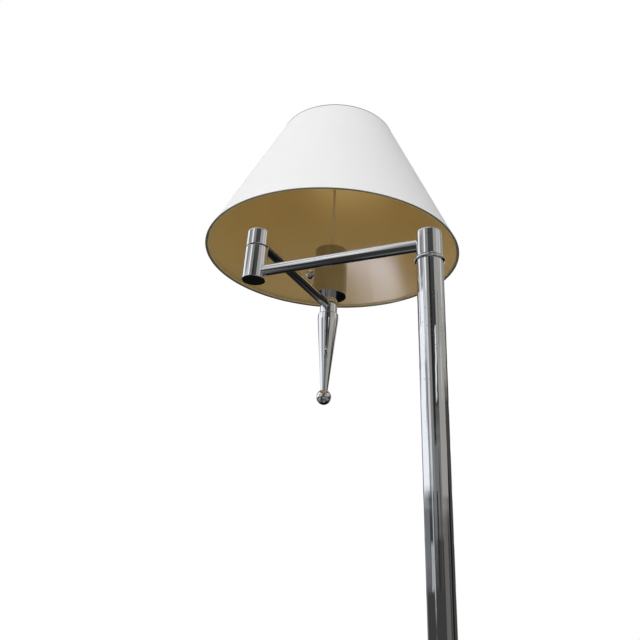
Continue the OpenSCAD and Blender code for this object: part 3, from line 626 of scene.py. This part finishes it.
@dataclass
class Studio:
    """Camera, floor, light, and the room that only the polished metal sees.

    Angles are in degrees and lengths in metres.
    """

    eye: Vector = field(default_factory=lambda: Vector((0.1283, -0.4901, 0.7799)))
    heading: float = 25.91
    pitch: float = 28.67
    roll: float = 3.46
    lens: float = 33.59  # millimetres, on a sensor of the width below
    sensor: float = 36.0
    shift: tuple[float, float] = (-0.0085, -0.1164)
    clip: float = 0.01
    middle: Vector = field(default_factory=lambda: Vector((-0.05, 0.04, 1.05)))
    aim_z: float = 1.2  # the height that the lamps are aimed at
    ambient: float = 0.56  # the world's strength where it lights
    room_r: float = 4.0
    room_gap: float = 0.03  # between one panel and the next in front of it
    panel_step: float = 3.0  # degrees to a column of a panel
    floor_half: float = 6.0
    floor_z: float = -0.0002
    floor_grey: float = 0.8
    floor_lift: float = 0.46  # the glow near the lamp that makes the floor white to the camera
    fade_r: float = 2.2  # where that glow is halfway to 1, past the lamp's shadow
    fade_width: float = 2.4
    dark_half: float = 4.6
    dark_z: float = -0.02
    dark_grey: float = 0.005
    patch_z: float = -0.019
    patch_gap: float = 0.001
    patch_step: float = 6.0  # degrees to a column of a patch
    least_columns: int = 4
    sill: SillGlow = SillGlow()

    def build(self) -> None:
        """Makes everything but the sill's glow, which needs the lining."""
        self.camera()
        self.world()
        self.floor()
        self.room()
        self.lamps()
        bpy.context.scene.view_settings.view_transform = "Standard"

    def around(self, bearing: float, reach: float, rise: float = 0.0) -> Vector:
        """A place at a bearing and a distance from the room's middle, and so much above it."""
        angle = math.radians(self.heading - 90.0 + bearing)
        return self.middle + Vector((reach * math.cos(angle), reach * math.sin(angle), rise))

    def camera(self) -> None:
        """A camera below the arms, looking up and a little rolled."""
        turn, up, roll = (math.radians(a) for a in (self.heading, self.pitch, self.roll))
        right = Vector((math.cos(turn), math.sin(turn), 0.0))
        ahead = Vector((-math.sin(turn) * math.cos(up), math.cos(turn) * math.cos(up), math.sin(up)))
        over = right.cross(ahead)
        side = right * math.cos(roll) + over * math.sin(roll)
        over = over * math.cos(roll) - right * math.sin(roll)
        data = bpy.data.cameras.new("camera")
        data.lens = self.lens
        data.sensor_width = self.sensor
        data.shift_x, data.shift_y = self.shift
        data.clip_start = self.clip
        camera = bpy.data.objects.new("camera", data)
        bpy.context.scene.collection.objects.link(camera)
        axes = Matrix((side, over, -ahead)).transposed().to_4x4()
        camera.matrix_world = Matrix.Translation(self.eye) @ axes
        bpy.context.scene.camera = camera

    def world(self) -> None:
        """White where the camera or the metal looks past everything, softer where it lights."""
        world = bpy.data.worlds.new("studio")
        bpy.context.scene.world = world
        world.use_nodes = True
        graph = Graph(world.node_tree)
        path = graph.node("ShaderNodeLightPath").outputs
        seen = Val(graph, path["Is Camera Ray"])
        for ray in ("Is Glossy Ray", "Is Transmission Ray"):
            seen = seen.most(Val(graph, path[ray]))
        strength = self.ambient + seen * (1.0 - self.ambient)
        graph.show(graph.node("ShaderNodeBackground", Color=WHITE_LIGHT, Strength=strength),
                   "ShaderNodeOutputWorld")

    def floor(self) -> None:
        """A pale floor that lights and shadows, over a dark one that the metal sees."""
        pale = self.floor_plane("floor", self.floor_half, self.floor_z, self.pale_floor())
        pale.visible_glossy = False
        dark = self.floor_plane("dark_floor", self.dark_half, self.dark_z,
                                self.plain("dark floor", self.dark_grey))
        hide_but_glossy(dark)
        for number, patch in enumerate(PATCHES):
            self.floor_patch(number, patch)

    def floor_plane(self, name: str, half: float, z: float,
                    material: bpy.types.Material) -> bpy.types.Object:
        """Lays a square of floor under the room's middle.

        Args:
            name: What it is called.
            half: Half its width.
            z: Its height.
            material: What it is made of.

        Returns:
            The plane.
        """
        bpy.ops.mesh.primitive_plane_add(size=2 * half, location=(self.middle.x, self.middle.y, z))
        made = bpy.context.object
        made.name = name
        made.data.materials.append(material)
        return made

    def floor_patch(self, number: int, patch: Patch) -> None:
        """Lays one paler part of the floor, which only the polished metal sees.

        Args:
            number: Its place among the patches, of which later ones lie higher.
            patch: What to lay.
        """
        span = patch.right - patch.left
        columns = max(self.least_columns, round(span / self.patch_step))
        bpy.ops.mesh.primitive_grid_add(x_subdivisions=columns, y_subdivisions=1, size=2.0)
        made = bpy.context.object
        made.name = f"floor_patch_{number}"
        for v in made.data.vertices:
            bearing = patch.left + span * (v.co.x + 1.0) / 2.0
            v.co = self.around(bearing, patch.near if v.co.y < 0 else patch.far)
            v.co.z = self.patch_z + self.patch_gap * number
        made.data.materials.append(self.plain(f"floor patch {number}", patch.light))
        hide_but_glossy(made)

    def pale_floor(self) -> bpy.types.Material:
        """Grey enough to light the object plainly, and white to the camera, with its shadow kept.

        Returns:
            The material.
        """
        made, graph = new_material("pale floor")
        place = graph.node("ShaderNodeTexCoord").outputs["Object"]
        away = graph.val("ShaderNodeVectorMath", "Value", {"operation": "LENGTH"}, in_0=place)
        seen = graph.val("ShaderNodeLightPath", "Is Camera Ray")
        far = away.above(self.fade_r, self.fade_width)
        lift = seen * (self.floor_lift + (1.0 - self.floor_lift) * far)
        matt = graph.node("ShaderNodeBsdfDiffuse", Color=(*[self.floor_grey] * 3, 1.0))
        glow = graph.node("ShaderNodeEmission", Color=WHITE_LIGHT, Strength=lift)
        graph.show(graph.node("ShaderNodeAddShader", in_0=matt.outputs[0], in_1=glow.outputs[0]))
        return made

    @staticmethod
    def plain(name: str, grey: float) -> bpy.types.Material:
        """Makes a material that glows in one grey.

        Args:
            name: What it is called.
            grey: How bright it is.

        Returns:
            The material.
        """
        made, graph = new_material(name)
        graph.show(graph.node("ShaderNodeEmission", Color=(grey, grey, grey, 1.0)))
        return made

    @staticmethod
    def panel_material() -> bpy.types.Material:
        """Glows in the colour kept on the panel's points, and fades out by its alpha.

        Returns:
            The material.
        """
        made, graph = new_material("room")
        light = graph.node("ShaderNodeVertexColor", {"layer_name": "light"}).outputs
        glow = graph.node("ShaderNodeEmission", Color=light["Color"], Strength=1.0)
        clear = graph.node("ShaderNodeBsdfTransparent")
        graph.show(graph.node("ShaderNodeMixShader", Fac=light["Alpha"], in_1=clear.outputs[0],
                              in_2=glow.outputs[0]))
        return made

    def room(self) -> None:
        """Stands the panels round the lamp, each later one in front of those before it."""
        material = self.panel_material()
        for number, panel in enumerate(ROOM):
            across = max(self.least_columns, round((panel.right - panel.left) / self.panel_step))
            bpy.ops.mesh.primitive_grid_add(x_subdivisions=across + 2, y_subdivisions=3, size=2.0)
            made = bpy.context.object
            made.name = f"room_{number}"
            radius = (self.room_r - number * self.room_gap) * panel.near
            self.curve_panel(made.data, panel, radius, across)
            made.data.materials.append(material)
            hide_but_glossy(made)

    def curve_panel(self, mesh: bpy.types.Mesh, panel: Panel, radius: float, across: int) -> None:
        """Bends a flat grid into a panel.

        Args:
            mesh: A grid of 2 by 2 with across + 2 columns and 3 rows of faces.
            panel: What to make of it.
            radius: Its distance from the lamp.
            across: Its columns between the two that fade.
        """
        light = mesh.color_attributes.new("light", "FLOAT_COLOR", "POINT")
        whole = panel.right - panel.left > 360
        for v, kept in zip(mesh.vertices, light.data):
            column = round((v.co.x + 1.0) / 2.0 * (across + 2))
            row = round((v.co.y + 1.0) / 2.0 * 3)
            faded = not whole and (column in (0, across + 2) or row in (0, 3))
            kept.color = (*(panel.light * t for t in panel.tint), 0.0 if faded else 1.0)
            elevation = panel.elevation(row)
            tilt = panel.lean * (elevation - panel.low) / (panel.high - panel.low)
            v.co = self.around(panel.bearing(column, across) + tilt, radius,
                               radius * math.tan(math.radians(elevation)))

    @staticmethod
    def area_lamp(name: str, power: float, place: Vector, aim: Vector) -> bpy.types.Object:
        """Hangs an area lamp that the camera doesn't see.

        Args:
            name: What it is called.
            power: Its watts.
            place: Where it hangs.
            aim: The point that it faces.

        Returns:
            The lamp, of which the form and size are still to set.
        """
        data = bpy.data.lights.new(name, "AREA")
        data.energy = power
        lamp = bpy.data.objects.new(name, data)
        bpy.context.scene.collection.objects.link(lamp)
        lamp.location = place
        lamp.rotation_euler = (aim - place).to_track_quat("-Z", "Y").to_euler()
        lamp.visible_camera = False
        return lamp

    def lamps(self) -> None:
        """A broad key light from the camera's left, and a weaker fill from farther round that side."""
        aim = Vector((self.middle.x, self.middle.y, self.aim_z))
        for lamp in LAMPS:
            place = self.around(lamp.bearing, lamp.reach)
            place.z = lamp.height
            made = self.area_lamp(lamp.name, lamp.power, place, aim)
            made.data.shape = "DISK"
            made.data.size = lamp.size
            made.data.spread = math.radians(lamp.spread)
            made.visible_glossy = False

    def sill_light(self, lining: bpy.types.Object) -> None:
        """Sets the sill's glow, which only the gold lining shows.

        Args:
            lining: The shade's inner skin, the one piece that this light reaches.
        """
        place = self.around(self.sill.bearing, self.sill.reach, -self.sill.drop)
        made = self.area_lamp("sill_glow", self.sill.power, place, self.middle)
        made.data.shape = "RECTANGLE"
        made.data.size, made.data.size_y = self.sill.size
        made.data.color = self.sill.colour
        made.visible_diffuse = False
        reached = bpy.data.collections.new("sill_reaches")
        reached.objects.link(lining)
        made.light_linking.receiver_collection = reached


def hide_but_glossy(thing: bpy.types.Object) -> None:
    """Leaves an object to be seen only in reflections.

    Args:
        thing: The object.
    """
    for ray in ("camera", "diffuse", "transmission", "volume_scatter", "shadow"):
        setattr(thing, f"visible_{ray}", False)


# ---- Fine pieces ----


@dataclass(frozen=True)
class Head:
    """The lamp's head in millimetres: its upright axis, and the cone of its shade."""

    x: float
    y: float
    shade_z: float
    shade_h: float
    low_r: float = 178.0
    top_r: float = 87.0
    skins: float = 1.33  # cover and lining together

    @classmethod
    def found(cls) -> "Head":
        """Takes the axis from the frame's stem, and the shade's height from its two trims.

        Returns:
            The head.
        """
        (left, front, _), (right, back, _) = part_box("stem")
        low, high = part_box("shade_bottom_trim")[0][2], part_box("shade_top_trim")[1][2]
        return cls((left + right) / 2 / MM, (front + back) / 2 / MM, low / MM, (high - low) / MM)

    @property
    def slope(self) -> float:
        """How much the shade's radius grows for each millimetre of height."""
        return (self.top_r - self.low_r) / self.shade_h

    def radius(self, height: float) -> float:
        """The shade's outer radius, at a height above its lower edge."""
        return self.low_r + self.slope * height

    def point(self, radius: float, turn: float, z: float) -> Vector:
        """A point in metres, from its distance to the axis, its angle in radians and its height."""
        return Vector((self.x + radius * math.cos(turn), self.y + radius * math.sin(turn), z)) * MM


def only(thing: bpy.types.Object) -> None:
    """Selects one object and makes it the active one.

    Args:
        thing: The object.
    """
    bpy.ops.object.select_all(action="DESELECT")
    thing.select_set(True)
    bpy.context.view_layer.objects.active = thing


def apply_place(thing: bpy.types.Object) -> None:
    """Moves an object's place into its mesh."""
    only(thing)
    bpy.ops.object.transform_apply(location=True, rotation=True, scale=True)


def close_seams() -> None:
    """Merges the edited mesh's doubles and turns its faces outwards."""
    bpy.ops.mesh.select_all(action="SELECT")
    bpy.ops.mesh.remove_doubles(threshold=ONE_POINT)
    bpy.ops.mesh.normals_make_consistent(inside=False)


def thicken(thing: bpy.types.Object, wall: float) -> None:
    """Gives a sheet a wall.

    Args:
        thing: The sheet, which keeps its outside.
        wall: The wall's thickness in millimetres.
    """
    only(thing)
    modifier = thing.modifiers.new("wall", "SOLIDIFY")
    modifier.thickness = wall * MM
    modifier.offset = -1.0
    modifier.use_even_offset = True
    bpy.ops.object.modifier_apply(modifier=modifier.name)


@dataclass
class Piece:
    """A piece modelled here: what it rides on, what it stands for and how it is finished.

    Its own sizes are in millimetres.
    """

    head: Head
    name: str
    slot: str
    finish: Finish
    stands_for: tuple[str, ...] = ()
    smooth: float = 60.0  # edges below this angle are shaded smooth
    body: str = "upper_arm"

    def make(self) -> bpy.types.Object:
        """Models the piece and returns it, at the origin and unturned."""
        raise NotImplementedError

    def place(self) -> None:
        """Models and finishes the piece, hangs it on its body's empty, hides the nodes that it stands
        for, and logs it.
        """
        made = self.make()
        made.name = self.name
        made.data.materials.clear()
        made.data.materials.append(self.finish.material())
        only(made)
        bpy.ops.object.shade_smooth_by_angle(angle=math.radians(self.smooth))
        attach(made, self.body)
        if self.stands_for:
            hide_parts(*self.stands_for)
        LOG.info("%s: %d faces", self.name, len(made.data.polygons))

    @staticmethod
    def lathe(outline: Sequence[tuple[float, float]], centre: Vector, steps: int) -> bpy.types.Object:
        """Turns a closed outline round an upright axis.

        Args:
            outline: (radius, height) points in millimetres, heights above the centre.
            centre: A point on the axis, in metres.
            steps: Faces round the axis.

        Returns:
            A closed ring.
        """
        bpy.ops.mesh.primitive_circle_add(vertices=len(outline), radius=MM, location=centre)
        made = bpy.context.object
        for v, (radius, height) in zip(made.data.vertices, outline):
            v.co = (radius * MM, 0.0, height * MM)
        bpy.ops.object.mode_set(mode="EDIT")
        bpy.ops.mesh.select_all(action="SELECT")
        bpy.ops.mesh.spin(steps=steps, angle=2 * math.pi, center=centre, axis=(0, 0, 1),
                          use_auto_merge=True)
        close_seams()
        bpy.ops.object.mode_set(mode="OBJECT")
        apply_place(made)
        return made

    @staticmethod
    def sheet(columns: int, rows: int, shape: Callable[[float, float], Vector]) -> bpy.types.Object:
        """Bends a flat grid into any sheet.

        Args:
            columns: Faces along the first parameter.
            rows: Faces along the second.
            shape: Gives a point for two parameters from 0 to 1.

        Returns:
            The sheet, without a thickness.
        """
        bpy.ops.mesh.primitive_grid_add(x_subdivisions=columns, y_subdivisions=rows, size=2.0,
                                        location=(0, 0, 0))
        made = bpy.context.object
        for v in made.data.vertices:
            v.co = shape((v.co.x + 1.0) / 2.0, (v.co.y + 1.0) / 2.0)
        return made


class Rim(Enum):
    """An edge of the shade, by the way in which its tape's legs point."""

    LOW = 1.0
    TOP = -1.0


@dataclass
class EdgeTape(Piece):
    """A woven tape folded over one edge of the shade, with a soft fold."""

    rim: Rim = Rim.LOW
    thickness: float = 0.33
    clear: float = 0.02  # between the tape and the skins
    reach: float = 1.6  # of its legs, from the shade's edge
    shoulder: float = 0.55  # where the fold's outside leaves the legs, and how far it rounds over
    inner_shoulder: float = 0.80  # the same for its inside
    inner_round: float = 0.40
    fold_steps: int = 8
    steps: int = 240

    def make(self) -> bpy.types.Object:
        """Turns a U-shaped section round the shade's axis.

        Returns:
            The tape.
        """
        edge = self.head.shade_h if self.rim is Rim.TOP else 0.0
        legs = self.rim.value
        middle = self.head.radius(edge) - self.head.skins / 2
        half_in = self.head.skins / 2 + self.clear
        half_out = self.head.skins / 2 + self.thickness

        def leg(side: float, half: float, height: float) -> tuple[float, float]:
            """A point of the section, beside the skins' middle and so far from the edge."""
            return middle + side * half + self.head.slope * legs * height, edge + legs * height

        outer, inner = [], []
        for step in range(self.fold_steps + 1):
            turn = math.pi * step / self.fold_steps
            across, drop = math.cos(turn), math.sin(turn)
            outer.append(leg(across, half_out, self.shoulder - self.shoulder * drop))
            inner.append(leg(across, half_in, self.inner_shoulder - self.inner_round * drop))
        outline = [leg(1, half_out, self.reach), *outer, leg(-1, half_out, self.reach),
                   leg(-1, half_in, self.reach), *reversed(inner), leg(1, half_in, self.reach)]
        return self.lathe(outline, self.head.point(0.0, 0.0, self.head.shade_z), self.steps)


@dataclass
class ShadeCover(Piece):
    """The cloth-faced sheet of the shade, rolled to a cone and glued along a lap at the back."""

    wall: float = 0.72
    under: float = 0.02  # how far it stays inside the shade's outer cone
    lap: float = 12.0
    step_out: float = 0.27
    rise: float = 0.25  # the share of the lap over which its outer end steps out
    end_gap: float = 0.45
    seam_bearing: float = 118.0
    columns: int = 376
    rows: int = 10

    def make(self) -> bpy.types.Object:
        """Rolls a cone whose ends overlap: the outer end steps over the inner one.

        Returns:
            The cover.
        """
        start = math.radians(self.seam_bearing)
        tall = self.head.shade_h - 2 * self.end_gap
        over = self.lap / self.head.radius(self.head.shade_h / 2)
        ramp = over * self.rise

        def shape(u: float, v: float) -> Vector:
            """Gives a point of the cover.

            Args:
                u: The share of its way round, lap and all.
                v: The share of its height.

            Returns:
                The point in metres.
            """
            height = self.end_gap + tall * v
            angle = u * (2 * math.pi + over)
            past = (angle - 2 * math.pi + ramp) / ramp
            radius = self.head.radius(height) - self.under + self.step_out * min(1.0, max(0.0, past))
            return self.head.point(radius, start + angle, self.head.shade_z + height)

        made = self.sheet(self.columns, self.rows, shape)
        thicken(made, self.wall)
        return made


@dataclass
class ThreadedShell(Piece):
    """The screw shell of the lampholder, with its rolled thread and turned-in floor."""

    radius: float = 13.74
    pitch: float = 3.63
    depth: float = 0.2
    floor_r: float = 7.1
    sheet_t: float = 0.3
    run_in: float = 2.0  # height over which the thread begins
    run_out: float = 1.5  # and over which it ends
    columns: int = 96
    rows: int = 96

    def make(self) -> bpy.types.Object:
        """Runs a sheet out along the floor and up the wall, with the thread, and gives it a wall.

        Returns:
            The shell.
        """
        low, high = (corner[2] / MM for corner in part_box("screw_shell"))
        tall = high - low
        floor_l = self.radius - self.floor_r

        def shape(u: float, v: float) -> Vector:
            """Gives a point of the shell.

            Args:
                u: The share of a turn.
                v: The share of the way out along the floor and up the wall.

            Returns:
                The point in metres.
            """
            along = v * (floor_l + tall)
            radius, height = self.floor_r + along, 0.0
            if along >= floor_l:
                height = along - floor_l
                grown = min(1.0, height / self.run_in) * min(1.0, (tall - height) / self.run_out)
                wave = math.sin(2 * math.pi * (height / self.pitch - u))
                radius = self.radius + self.depth * grown * wave
            return self.head.point(radius, 2 * math.pi * u, low + height)

        made = self.sheet(self.columns, self.rows, shape)
        only(made)
        bpy.ops.object.mode_set(mode="EDIT")
        close_seams()
        bpy.ops.object.mode_set(mode="OBJECT")
        thicken(made, self.sheet_t)
        return made


@dataclass
class SolderBead(Piece):
    """A bead of solder that holds one arm of the spider in the shade's top ring."""

    bearing: float = 0.0
    ring_r: float = 85.29
    ring_h: float = 207.0
    inward: float = 1.3
    size: float = 2.0  # its radius, before it is flattened
    form: Triple = (0.85, 1.5, 0.9)  # its shares of that, outwards, along the ring and up
    uneven: float = 0.06
    ripples: tuple[float, float] = (1900.0, 1700.0)  # radians to a metre, outwards and along

    def make(self) -> bpy.types.Object:
        """Shapes a flattened, slightly uneven ball.

        Returns:
            The bead.
        """
        turn = math.radians(self.bearing)
        centre = self.head.point(self.ring_r - self.inward, turn, self.head.shade_z + self.ring_h)
        bpy.ops.mesh.primitive_ico_sphere_add(subdivisions=4, radius=self.size * MM, location=centre,
                                              rotation=(0, 0, turn))
        made = bpy.context.object
        out, along = self.ripples
        for v in made.data.vertices:
            ripple = math.sin(out * v.co.x + self.bearing) * math.cos(along * v.co.y)
            v.co = Vector(share * at for share, at in zip(self.form, v.co)) * (1.0 + self.uneven * ripple)
        apply_place(made)
        return made


# ---- Sub-assemblies ----


@dataclass
class SubAssembly:
    """A group of the lamp's pieces: dresses its CAD nodes, and adds the fine pieces modelled for it."""

    nodes: dict[str, bpy.types.Object]
    finishes: ClassVar[dict[Finish, tuple[str, ...]]] = {}

    def build(self) -> None:
        """Dresses the nodes, then places the fine pieces."""
        for finish, names in self.finishes.items():
            for name in names:
                self.dress(name, finish)
        for piece in self.pieces():
            piece.place()

    def dress(self, name: str, finish: Finish) -> None:
        """Gives a CAD node a finish in place of its plain material.

        Args:
            name: The node.
            finish: Its finish.
        """
        materials = self.nodes[name].data.materials
        materials.clear()
        materials.append(finish.material())
        LOG.info("%s: %s", name, finish.name)

    def pieces(self) -> list[Piece]:
        """The fine pieces, in the order in which they are made; none for most."""
        return []


class Base(SubAssembly):
    """The weight on its felt pad, under a chromed cover."""

    finishes = {
        CHROME: ("base_cover",),
        STEEL: ("base_washer", "base_nut", "base_nipple"),
        NYLON: ("cord_bushing",),
        CAST: ("base_weight",),
        FELT: ("base_pad",),
    }


class Pole(SubAssembly):
    """The drawn tube, with the collar at its foot and the plug and ring at its top."""

    finishes = {
        POLE_CHROME: ("pole",),
        CHROME: ("pole_collar", "pole_ring"),
        STEEL: ("pole_bush", "pole_plug"),
        JACKET: ("pole_lead",),
    }


class Knuckle(SubAssembly):
    """The swivel on top of the pole."""

    finishes = {
        TURNED_CHROME: ("knuckle_barrel",),
        CHROME: ("knuckle_cap",),
        STEEL: ("knuckle_spring", "knuckle_stop_washer", "knuckle_nut", "knuckle_stop_pin"),
        BRASS: ("knuckle_bush",),
        NYLON: ("knuckle_washer",),
    }


class Elbow(SubAssembly):
    """The swivel between the two arms."""

    finishes = {
        TURNED_CHROME: ("elbow_lower_barrel", "elbow_upper_barrel"),
        CHROME: ("elbow_lower_cap", "elbow_upper_cap"),
        STEEL: ("elbow_stop_pin", "elbow_spigot", "elbow_spring", "elbow_stop_washer", "elbow_nut"),
        BRASS: ("elbow_bush",),
        NYLON: ("elbow_washer",),
    }


class Arms(SubAssembly):
    """The two arm tubes with their leads, and the stem and finial at the end of the upper one."""

    finishes = {
        LOWER_ARM_CHROME: ("lower_arm_tube",),
        UPPER_ARM_CHROME: ("upper_arm_tube",),
        JACKET: ("lower_arm_lead", "upper_arm_lead"),
        TURNED_CHROME: ("stem", "finial"),
        CHROME: ("finial_ball",),
        STEEL: ("stem_nipple", "stem_nut"),
    }


class Shade(SubAssembly):
    """The shade: a cover on a gold lining, a tape round each edge, and the ring in the lower one."""

    finishes = {
        GILT: ("shade_bottom_ring",),
        WHITE: ("shade_cover",),
        GOLD: ("shade_liner",),
        TAPE: ("shade_top_trim", "shade_bottom_trim"),
    }

    def pieces(self) -> list[Piece]:
        """The lapped cover and the two folded tapes."""
        head = Head.found()
        return [
            ShadeCover(head, "shade_cover_laminate", "shade_white", WHITE, ("shade_cover",), smooth=30.0),
            EdgeTape(head, "shade_tape_low", "shade_tape", TAPE, ("shade_bottom_trim",)),
            EdgeTape(head, "shade_tape_top", "shade_tape", TAPE, ("shade_top_trim",), rim=Rim.TOP),
        ]


class Lampholder(SubAssembly):
    """The chromed cup, the holder in it and the switch in its side."""

    finishes = {
        SATIN_PAINTED_SHADE: ("socket_cup",),
        CHROME: ("switch_knob",),
        STEEL: ("switch_spindle",),
        BRASS: ("holder_cap", "holder_shell", "screw_shell", "centre_contact"),
        PHENOLIC: ("holder_body",),
    }

    def pieces(self) -> list[Piece]:
        """The screw shell with its thread."""
        return [ThreadedShell(Head.found(), "screw_shell_thread", "brass_plate", BRASS, ("screw_shell",),
                              smooth=50.0)]


@dataclass
class Carrier(SubAssembly):
    """What holds the shade: the harp in its saddle, and the spider soldered into the top ring."""

    spider_arms: int = 3
    first_bearing: float = 85.0
    finishes = {
        BRASS: ("harp_saddle",),
        CHROME: ("harp_nut",),
        GILT: ("harp", "shade_spider", "shade_top_ring"),
    }

    def pieces(self) -> list[Piece]:
        """A bead of solder for each arm of the spider, smooth all over."""
        return [SolderBead(Head.found(), f"spider_solder_{number}", "zinc_steel", STEEL, smooth=180.0,
                           bearing=self.first_bearing + 360.0 * number / self.spider_arms)
                for number in range(self.spider_arms)]


def main() -> None:
    """Builds the studio, dresses the frame and adds the fine pieces."""
    logging.basicConfig(level=logging.INFO, format="%(name)s: %(message)s")
    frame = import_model()
    bpy.ops.object.select_all(action="DESELECT")
    studio = Studio()
    studio.build()
    studio.sill_light(frame["nodes"]["shade_liner"])
    for kind in (Base, Pole, Knuckle, Elbow, Arms, Shade, Lampholder, Carrier):
        kind(frame["nodes"]).build()


if __name__ == "__main__":
    main()
